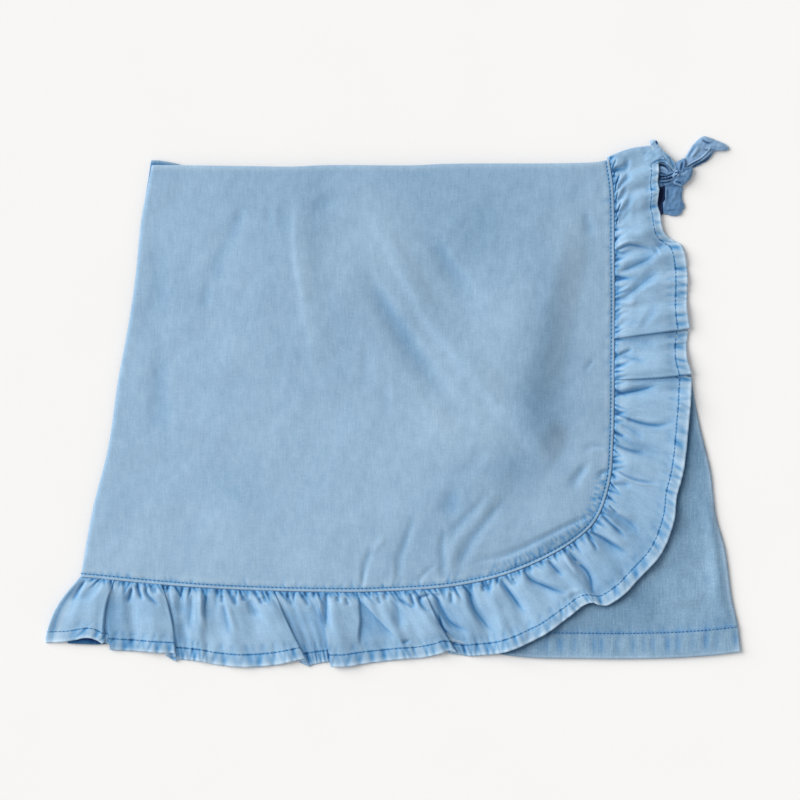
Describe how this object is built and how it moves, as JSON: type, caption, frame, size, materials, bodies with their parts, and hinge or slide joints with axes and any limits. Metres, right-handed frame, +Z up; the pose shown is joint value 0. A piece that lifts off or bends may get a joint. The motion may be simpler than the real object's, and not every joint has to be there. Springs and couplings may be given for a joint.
{
  "type": "skort laid flat",
  "caption": "Child's wrap-front skort in washed light denim, laid flat: shorts under a wrap panel with a gathered ruffle on its curved edge and a fabric tie at the waist.",
  "frame": {"origin": "centre of the underside of the garment's box, on the surface it lies on", "axes": "+X to the right as the garment is seen from above with its waist away from the viewer, +Y from hem to waist, +Z up off the surface"},
  "size_m": [0.4521, 0.3449, 0.009],
  "materials": {
    "denim_wrap": "soft washed light blue denim",
    "denim_shorts": "soft washed light blue denim, a little deeper",
    "denim_tie": "soft washed light blue denim strap"
  },
  "bodies": {
    "root": {"waistband_back": "denim_shorts", "shorts_back_left": "denim_shorts", "shorts_back_right": "denim_shorts", "shorts_front_left": "denim_shorts", "shorts_front_right": "denim_shorts", "wrap_panel": "denim_wrap", "ruffle": "denim_wrap", "tie_strap_wrap": "denim_tie", "tie_strap_corner": "denim_tie", "tie_strap_side": "denim_tie", "tie_tail_upper": "denim_tie", "tie_tail_lower": "denim_tie", "tie_knot": "denim_tie", "tie_knot_band": "denim_tie"}
  },
  "joints": []
}
